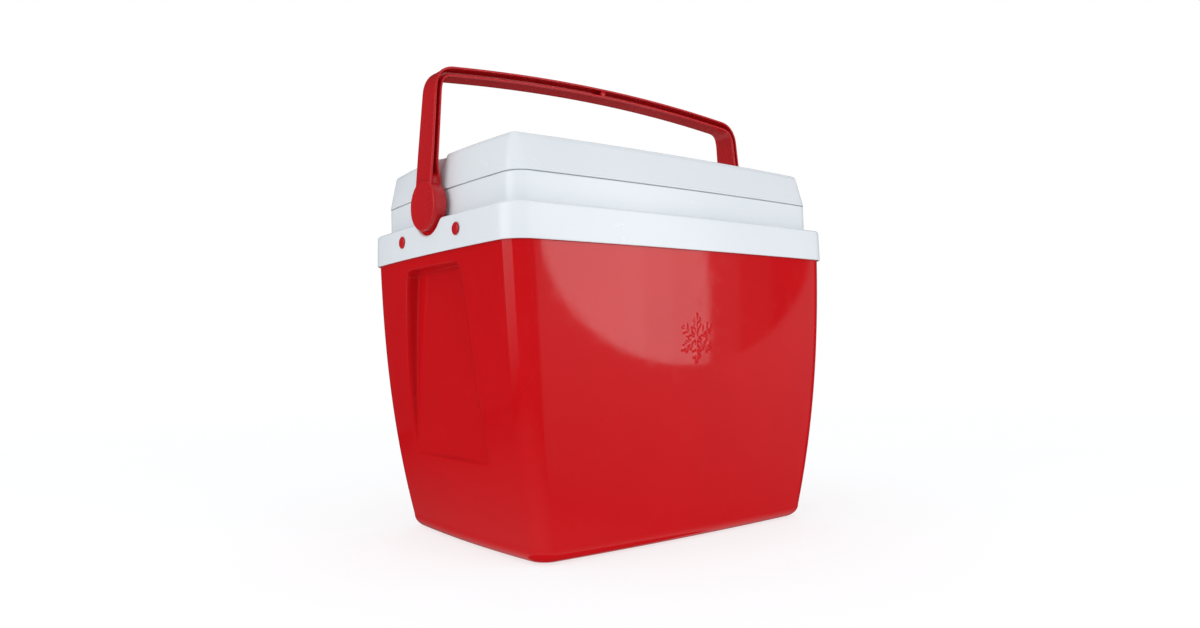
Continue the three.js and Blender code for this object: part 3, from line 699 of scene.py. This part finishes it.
def build_lid():
    """The lid's cover, from the middle of its top out and down the outside, and up the inside."""
    panel = LID_TOP - PANEL_DEPTH
    outer = [lid_ring(LID_TOP, 60, panel, scoop_share=0.0)]
    for inset, drop in reversed(PANEL_STEP):
        outer.append(lid_ring(LID_TOP, PANEL_INSET + inset, LID_TOP - drop, scoop_share=0.0))
    outer.append(lid_ring(LID_TOP, PANEL_INSET - 1.6, LID_TOP, scoop_share=0.0))
    outer.append(lid_ring(LID_TOP, 8.0, LID_TOP, scoop_grow=8.0, scoop_share=0.6))
    outer.append(lid_ring(LID_TOP, 3.6, LID_TOP, scoop_grow=3.6))
    for t in np.radians([90, 72, 54, 36, 18, 0]):
        inset = LID_EDGE * (1 - math.cos(t))
        outer.append(lid_ring(LID_TOP, inset, LID_TOP - LID_EDGE * (1 - math.sin(t)), scoop_grow=inset))
    outer += [lid_ring(z, 0, z) for z in np.linspace(LID_TOP - LID_EDGE - 0.8, SEAM + 2.2, 20)]
    for t in np.radians([0, -30, -60, -90]):
        rise = LID_LOWER_EDGE * (1 + math.sin(t))
        outer.append(lid_ring(SEAM, LID_LOWER_EDGE * (1 - math.cos(t)), SEAM + rise))
    outer += [lid_ring(SEAM, 1.7, SEAM + 0.2), lid_ring(SEAM, LID_WALL, SEAM + 1.0)]
    ceiling = panel - LID_WALL
    levels = np.linspace(SEAM + 2.2, ceiling, 12)
    inner = [lid_ring(z, LID_WALL, z, scoop_grow=LID_WALL) for z in levels]
    inner += [lid_ring(ceiling, inset, ceiling, scoop_share=0.0) for inset in (LID_WALL + 14, 60)]
    return add_object("lid_top_shell", *skin(outer + inner, cap_first=True, cap_last=True), white_outer)


lid = build_lid()
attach(lid, "lid")
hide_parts("lid_cover")

# ---------------------------------------------------------------- underside of the lid

PAN_WALL, PAN_R, PLUG_ROUND = 1.8, 18.0, 5.0
PAN_GAP = 1.2  # between the plug and the tub
SHELF_UP, SHELF_IN = 1.8, 2.7  # the shelf's underside above the seam, and its edge in from the lid's face


def plug_ring(extra, z):
    """Ring of the plug at height z, larger by extra than the plug's upper edge."""
    a, b, _ = tub_face(SEAM, -TUB_WALL)
    outline = ring(a - PAN_GAP + extra, b - PAN_GAP + extra, max(PAN_R + extra, 8), even_ends, FRONT_X)
    return at_height(outline, z)


def build_pan():
    """The lid's underside, from the middle of the plug out, up to the shelf and back down the inside."""
    bottom, top = pan_low[2], pan_high[2]
    shelf = SEAM + SHELF_UP
    underside = ((-60, 3.0), (-24, 3.0), (-22.5, 2.6), (-21.5, 1.2), (-20.5, 0.3), (-19, 0.0), (-6.5, 0.0))
    rings = [plug_ring(extra, bottom + up) for extra, up in underside]
    for t in np.radians([-90, -68, -45, -22, 0]):
        inset = 0.8 + PLUG_ROUND * (1 - math.cos(t))
        rings.append(plug_ring(-inset, bottom + PLUG_ROUND * (1 + math.sin(t))))
    rings.append(plug_ring(-0.4, bottom + 10))
    rings += [plug_ring(extra, shelf - drop) for extra, drop in ((0, 1.2), (0.3, 0.4), (1.0, 0.0))]
    edge = ((0.8, shelf), (0.2, shelf + 0.3), (0.0, shelf + 0.9), (0.2, top - 0.2), (0.8, top))
    rings += [lid_ring(top, SHELF_IN + extra, z, even_ends, scoop_share=0.0) for extra, z in edge]
    rings.append(plug_ring(-PAN_WALL, top))
    inside = ((-PAN_WALL, 8), (-PAN_WALL - 4.5, 2.2), (-22, 4.8), (-60, 4.8))
    rings += [plug_ring(extra, bottom + up) for extra, up in inside]
    return add_object("lid_plug_pan", *skin(rings, cap_first=True, cap_last=True), white_tub)


pan = build_pan()
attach(pan, "lid")
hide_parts("lid_pan")

# ---------------------------------------------------------------- handle

HUB_R = (handle_high[1] - handle_low[1]) / 2
HUB_FACE = handle_high[0]
HUB_BACK = HUB_FACE - 14.8  # the hub's thickness
HANDLE_TOP = handle_high[2]
BAR_RISE, BAR_HALF = 9.75, 203.0  # how far the bar arches, and half its length
ARM_LEAN, CORNER_LEG = 0.085, 25.0
ARM_DEPTH, BAR_DEPTH = 8.0, 10.4
FLARE, FLARE_REACH = 4.6, 24.0  # the arm thickens towards the hub
GROOVE_END, GROOVE_FADE = 1.0, 14.0  # the grooves run out where the arms meet the hubs
WEB_HALF, FLANGE, SECTION_SOFT = 2.0, 2.3, 0.9
WIDTH_AT = ((300, 400, 474, 492, 520), (16, 16, 14, 12.3, 12.3))  # height, half width of the handle there
# axle behind each hub, as radius and x, with a groove for the clip
AXLE = [(9.6, HUB_BACK), (9.2, HUB_BACK - 0.3), (9.0, HUB_BACK - 0.8), (9.0, 214.9), (8.0, 214.7)]
AXLE += [(8.0, 212.6), (9.0, 212.4), (9.0, 210.6), (8.4, 209.8), (7.6, 209.6), (0, 209.6)]
# round boss at mid bar, as radius and y
GRIP_BOSS = [(3.0, -11.0), (3.5, -10.8), (3.8, -10.2), (4.0, -9.0)]
GRIP_BOSS += [(4.0, 9.0), (3.8, 10.2), (3.5, 10.8), (3.0, 11.0)]


def arm_x(z):
    """Outer edge of the arm at height z."""
    return HUB_FACE - ARM_LEAN * (z - PIVOT_Z)


def handle_edge():
    """Outer edge of the handle as (x, z) points from the left pivot to the right one, with inward normals."""
    bar_end = np.array([BAR_HALF, HANDLE_TOP - BAR_RISE])
    slope = -2 * BAR_RISE / BAR_HALF
    corner_z = bar_end[1]
    for _ in range(4):
        corner_z = bar_end[1] + slope * (arm_x(corner_z) - bar_end[0])
    corner = np.array([arm_x(corner_z), corner_z])
    arm_top = np.array([arm_x(corner_z - CORNER_LEG), corner_z - CORNER_LEG])
    foot = np.array([HUB_FACE - 0.5, PIVOT_Z + 8])
    crown = np.array([0, HANDLE_TOP + BAR_RISE])
    half = np.concatenate([
        np.linspace(foot, arm_top, 46)[:-1],
        bezier(arm_top, corner, bar_end, 22)[:-1],
        bezier(bar_end, crown, bar_end * [-1, 1], 96)[:49],
    ])
    full = np.concatenate([half * [-1, 1], half[-2::-1]])
    tangent = np.gradient(full, axis=0)
    tangent /= np.linalg.norm(tangent, axis=1)[:, None]
    return full, np.stack([tangent[:, 1], -tangent[:, 0]], 1)


def section(depth, half, web):
    """The handle's H section as (distance in from the outer face, y), all the way round."""
    s, flange = SECTION_SOFT, FLANGE
    wall = flange + 0.35  # the groove's sides lean a little
    sides = (half + web) / 2
    pts = [(0.35, 0.0), (0.3, half * 0.55), (0.0, half - 3.0)]
    pts += [(s - s * math.cos(t), half - s + s * math.sin(t)) for t in np.radians([25, 50, 70, 90])]
    pts += [(flange - 0.5, half), (flange - 0.15, half - 0.15), (flange, half - 0.6)]
    pts += [(flange + 0.175, sides), (wall, web + 1.1), (wall + 0.35, web + 0.4), (wall + 1.0, web)]
    pts += [(depth / 2, web), (depth - wall - 1.0, web), (depth - wall - 0.35, web + 0.4)]
    pts += [(depth - wall, web + 1.1), (depth - flange - 0.175, sides), (depth - flange, half - 0.6)]
    pts += [(depth - flange + 0.15, half - 0.15), (depth - flange + 0.5, half)]
    pts += [(depth - s + s * math.sin(t), half - s + s * math.cos(t)) for t in np.radians([0, 25, 50, 75])]
    pts += [(depth, half - 3.0), (depth - 0.1, half * 0.55), (depth - 0.15, 0.0)]
    return pts + [(d, -y) for d, y in pts[-2:0:-1]]


def handle_rings():
    """The arms and the bar as one swept section."""
    rings = []
    for (x, z), (nx, nz) in zip(*handle_edge()):
        above_hub = z - PIVOT_Z - HUB_R
        flare = FLARE * min(max(1 - above_hub / FLARE_REACH, 0), 1) ** 2
        depth = ARM_DEPTH + (BAR_DEPTH - ARM_DEPTH) * nz * nz + flare
        half = float(np.interp(z, *WIDTH_AT))
        fill = float(smoothstep(1 - (above_hub - GROOVE_END) / GROOVE_FADE))
        web = WEB_HALF + (half - 1.0 - WEB_HALF) * fill
        rings.append([(x + nx * d, y, z + nz * d) for d, y in section(depth, half, web)])
    return rings


def build_handle():
    """Arms and bar, the two hubs with their axles, and the boss across the grooves at mid bar."""
    parts = [skin(handle_rings(), cap_first=True, cap_last=True)]
    face, back, r = HUB_FACE, HUB_BACK, HUB_R
    hub = [(0, face - 0.35), (8, face - 0.35), (16, face - 0.3), (r - 5.0, face - 0.05), (r - 3.0, face)]
    for t in np.radians([0, 18, 36, 54, 72, 90]):
        hub.append((r - 2.2 + 2.2 * math.sin(t), face - 2.2 + 2.2 * math.cos(t)))
    hub += [(r, face - 5.0), (r, back + 1.5), (r - 0.3, back + 0.5), (r - 1.0, back), (r - 2.5, back)]
    parts += [turned(hub + AXLE, (0, 0, PIVOT_Z), side, 96) for side in (-1, 1)]
    boss = []
    for radius, y in GRIP_BOSS:
        x, z = circle(radius, 40)
        boss.append(np.stack([x, np.full(40, y), HANDLE_TOP - BAR_DEPTH / 2 + z], 1))
    parts.append(skin(boss, cap_first=True, cap_last=True))
    return add_object("swing_handle_body", *join(parts), red_handle)


handle = build_handle()
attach(handle, "swing_handle")
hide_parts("handle")

# ---------------------------------------------------------------- studs

for name in ("rim_stud_left_front", "rim_stud_left_back", "rim_stud_right_front", "rim_stud_right_back"):
    low, high = box(name)
    side = 1 if high[0] > 0 else -1
    radius = (high[1] - low[1]) / 2
    inner, outer = sorted((abs(low[0]), abs(high[0])))
    seat = outer - 1.9  # the back of the head, against the skirt
    profile = [(0, outer), (1.5, outer - 0.02), (3.2, outer - 0.12), (4.8, outer - 0.42), (5.7, outer - 0.8)]
    profile += [(6.3, outer - 1.25), (radius, outer - 1.6), (radius, seat + 0.1), (radius - 0.2, seat)]
    profile += [(4.0, seat), (4.0, inner + 2.4), (4.9, inner + 2.1), (4.6, inner + 1.4)]
    profile += [(3.0, inner), (0, inner)]
    turned_stud = turned(profile, (low + high) / 2, side, 48)
    stud = add_object(name.replace("rim_stud", "stud"), *turned_stud, red_handle)
    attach(stud, "body")
    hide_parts(name)

# ---------------------------------------------------------------- carried-over nodes

for name, node in frame["nodes"].items():
    if name.startswith("foam_board") or name == "lid_foam":
        wanted = foam
    elif name.startswith("pivot_clip"):
        wanted = steel
    else:
        continue
    for slot in node.material_slots:
        slot.material = wanted

# ---------------------------------------------------------------- camera

scene = bpy.context.scene
CAMERA_PLACE = (-0.6319, -0.7440, 0.1940)
CAMERA_YAW, CAMERA_PITCH, CAMERA_ROLL = 34.6256, 2.7599, -1.1608
yaw, pitch, roll = (math.radians(angle) for angle in (CAMERA_YAW, CAMERA_PITCH, CAMERA_ROLL))
forward = Vector((math.sin(yaw) * math.cos(pitch), math.cos(yaw) * math.cos(pitch), math.sin(pitch)))
right = Vector((math.cos(yaw), -math.sin(yaw), 0))
up = right.cross(forward)
right_rolled = right * math.cos(roll) + up * math.sin(roll)
up_rolled = up * math.cos(roll) - right * math.sin(roll)
camera_data = bpy.data.cameras.new("camera")
camera = bpy.data.objects.new("camera", camera_data)
scene.collection.objects.link(camera)
rotation = Matrix((right_rolled, up_rolled, -forward)).transposed().to_4x4()
camera.matrix_world = Matrix.Translation(CAMERA_PLACE) @ rotation
camera_data.sensor_width = 36.0
camera_data.lens = 24.857
camera_data.shift_x = 1 / 15  # the object stands left of the picture's middle
camera_data.clip_start = 0.01
camera_data.clip_end = 100.0
scene.camera = camera

# ---------------------------------------------------------------- floor and light

scene.view_settings.view_transform = "Standard"


def mix_shaders(tree, factor, first, second):
    """The first shader where the factor is 0, the second where it is 1."""
    mix = tree.nodes.new("ShaderNodeMixShader")
    for socket, source in zip(mix.inputs, (factor, first, second)):
        link(tree, source, socket)
    return mix.outputs[0]


def background(tree, colour, strength):
    """Plain light from the surroundings."""
    node = tree.nodes.new("ShaderNodeBackground")
    node.inputs["Color"].default_value = (*colour, 1)
    node.inputs["Strength"].default_value = strength
    return node.outputs[0]


def build_world():
    """White behind the object, soft grey-white light round it, and darker surroundings in its gloss."""
    world = bpy.data.worlds.new("world")
    world.use_nodes = True
    tree = world.node_tree
    ray = tree.nodes.new("ShaderNodeLightPath")
    fill = background(tree, (0.96, 0.98, 1.0), 0.82)
    dim = background(tree, (0.92, 0.96, 1.0), 0.03)
    backdrop = background(tree, (1, 1, 1), 1.0)
    lit = mix_shaders(tree, ray.outputs["Is Glossy Ray"], fill, dim)
    seen = mix_shaders(tree, ray.outputs["Is Camera Ray"], lit, backdrop)
    link(tree, seen, tree.nodes["World Output"].inputs["Surface"])
    return world


def stage_object(name, points, faces, material):
    """A mesh of the studio, from points in metres."""
    mesh = bpy.data.meshes.new(name)
    mesh.from_pydata([tuple(p) for p in points], [], faces)
    mesh.materials.append(material)
    obj = bpy.data.objects.new(name, mesh)
    scene.collection.objects.link(obj)
    obj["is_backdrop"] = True
    return obj


FLOOR_R, FLOOR_Z = 2.4, -0.0006  # just under the base
FLOOR_FADE = (0.6, 2.2)


def build_floor():
    """A pale round floor that fades into the white surroundings, and can be seen through from below."""
    material, tree, shader = node_material("pale_floor")
    shader.inputs["Base Color"].default_value = (0.34, 0.35, 0.36, 1)
    shader.inputs["Emission Color"].default_value = (1, 1, 1, 1)
    shader.inputs["Emission Strength"].default_value = 0.70
    shader.inputs["Roughness"].default_value = 0.9
    shader.inputs["Specular IOR Level"].default_value = 0.1
    distance = tree.nodes.new("ShaderNodeVectorMath")
    distance.operation = "LENGTH"
    link(tree, place(tree), distance.inputs[0])
    fade = remap(tree, distance.outputs["Value"], 0.0, 1.0, *FLOOR_FADE)
    side = tree.nodes.new("ShaderNodeNewGeometry")
    opening = tree.nodes.new("ShaderNodeMath")
    opening.operation = "MAXIMUM"
    link(tree, fade, opening.inputs[0])
    link(tree, side.outputs["Backfacing"], opening.inputs[1])
    clear = tree.nodes.new("ShaderNodeBsdfTransparent")
    surface = mix_shaders(tree, opening.outputs[0], shader.outputs[0], clear.outputs[0])
    link(tree, surface, tree.nodes["Material Output"].inputs["Surface"])
    points = [(x, y, FLOOR_Z) for x, y in zip(*circle(FLOOR_R, 64))]
    floor = stage_object("floor", points, [tuple(range(64))], material)
    floor.visible_glossy = False


def disc_slice(radius, start, end):
    """Outline of the part of a disc between two upright lines."""
    top = [(x, math.sqrt(max(radius ** 2 - x * x, 0))) for x in np.linspace(start, end, 40)]
    return top + [(x, -y) for x, y in reversed(top)]


def rectangle(left, bottom, right, top):
    """Outline of a rectangle."""
    return [(left, bottom), (right, bottom), (right, top), (left, top)]


def gloss_card(name, points, faces, strength, dark_at=None, bright_at=None):
    """A pale studio card, seen in the gloss only. It may fade between two heights."""
    material, tree, shader = node_material(name)
    shader.inputs["Base Color"].default_value = (0, 0, 0, 1)
    shader.inputs["Specular IOR Level"].default_value = 0.0
    shader.inputs["Emission Color"].default_value = (1, 1, 1, 1)
    shader.inputs["Emission Strength"].default_value = strength
    if dark_at is not None:
        height = tree.nodes.new("ShaderNodeSeparateXYZ")
        link(tree, place(tree), height.inputs[0])
        if dark_at < bright_at:
            rising = remap(tree, height.outputs["Z"], 0.0, strength, dark_at, bright_at)
        else:
            rising = remap(tree, height.outputs["Z"], strength, 0.0, bright_at, dark_at)
        link(tree, rising, shader.inputs["Emission Strength"])
    card = stage_object(name, points, faces, material)
    card.visible_camera = False
    card.visible_diffuse = False
    card.visible_shadow = False
    card.visible_transmission = False


def reflector(name, centre, facing, outline, strength, dark_at=None, bright_at=None):
    """A flat card that faces away from the object. The outline is in metres, across and up."""
    normal = Vector(facing).normalized()
    across = normal.cross(Vector((0, 0, 1))).normalized()
    upward = across.cross(normal)
    points = [Vector(centre) + across * x + upward * y for x, y in outline]
    gloss_card(name, points, [tuple(range(len(points)))], strength, dark_at, bright_at)


def low_ring(radius, bottom, top, strength):
    """A band all round, below the floor's level, that stands for the floor's own reflection."""
    x, y = circle(radius, 48)
    rings = [at_height(np.column_stack([x, y]), z) for z in (bottom, top)]
    gloss_card("low_ring", *skin(rings), strength, top, bottom)


LIGHT_AIM = Vector((0, 0, 0.22))


def soft_light(name, location, size, power):
    """A round area light that faces the middle of the object."""
    data = bpy.data.lights.new(name, "AREA")
    data.shape = "DISK"
    data.size = size
    data.energy = power
    lamp = bpy.data.objects.new(name, data)
    scene.collection.objects.link(lamp)
    lamp.location = location
    lamp.rotation_mode = "QUATERNION"
    lamp.rotation_quaternion = (LIGHT_AIM - Vector(location)).to_track_quat("-Z", "Y")
    lamp.visible_glossy = False


DISC_R, DISC_CENTRE, DISC_FACING = 0.762, (1.7584, -1.9183, 0.755), (0.7056, -0.7085, 0.0078)
# start, end and strength of each upright slice of the disc, brightest on its left half
DISC_BANDS = ((0.20, DISC_R, 2.3), (0.05, 0.20, 2.0), (-0.15, 0.05, 1.75))
DISC_BANDS += ((-0.32, -0.15, 0.26), (-0.50, -0.32, 0.12), (-DISC_R, -0.50, 0.04))

scene.world = build_world()
build_floor()
for k, (start, end, strength) in enumerate(DISC_BANDS):
    reflector("disc_card_%d" % k, DISC_CENTRE, DISC_FACING, disc_slice(DISC_R, start, end), strength)
side_card = rectangle(-1.5, -0.8, 0.8, 1.6)
reflector("side_card", (-2.46, 0.28, 0.25), (-0.994, 0.11, 0), side_card, 1.3, -0.4, 0.8)
front_card = rectangle(-1.3, -1.4, 1.25, 1.3)
reflector("front_card", (2.26, -2.26, 0.2), (0.7071, -0.7071, 0), front_card, 0.36, -1.7, 0.25)
low_ring(4.5, -4.3, -0.75, 0.45)
roof = [(x, y, 2.6) for x, y in rectangle(-1.2, -1.2, 1.2, 1.2)]
gloss_card("roof_card", roof, [(0, 1, 2, 3)], 0.6)
soft_light("front_softbox", (0.6, -3.0, 0.9), 1.6, 26)
soft_light("end_softbox", (-3.0, 0.2, 0.9), 1.6, 22)

low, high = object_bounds()
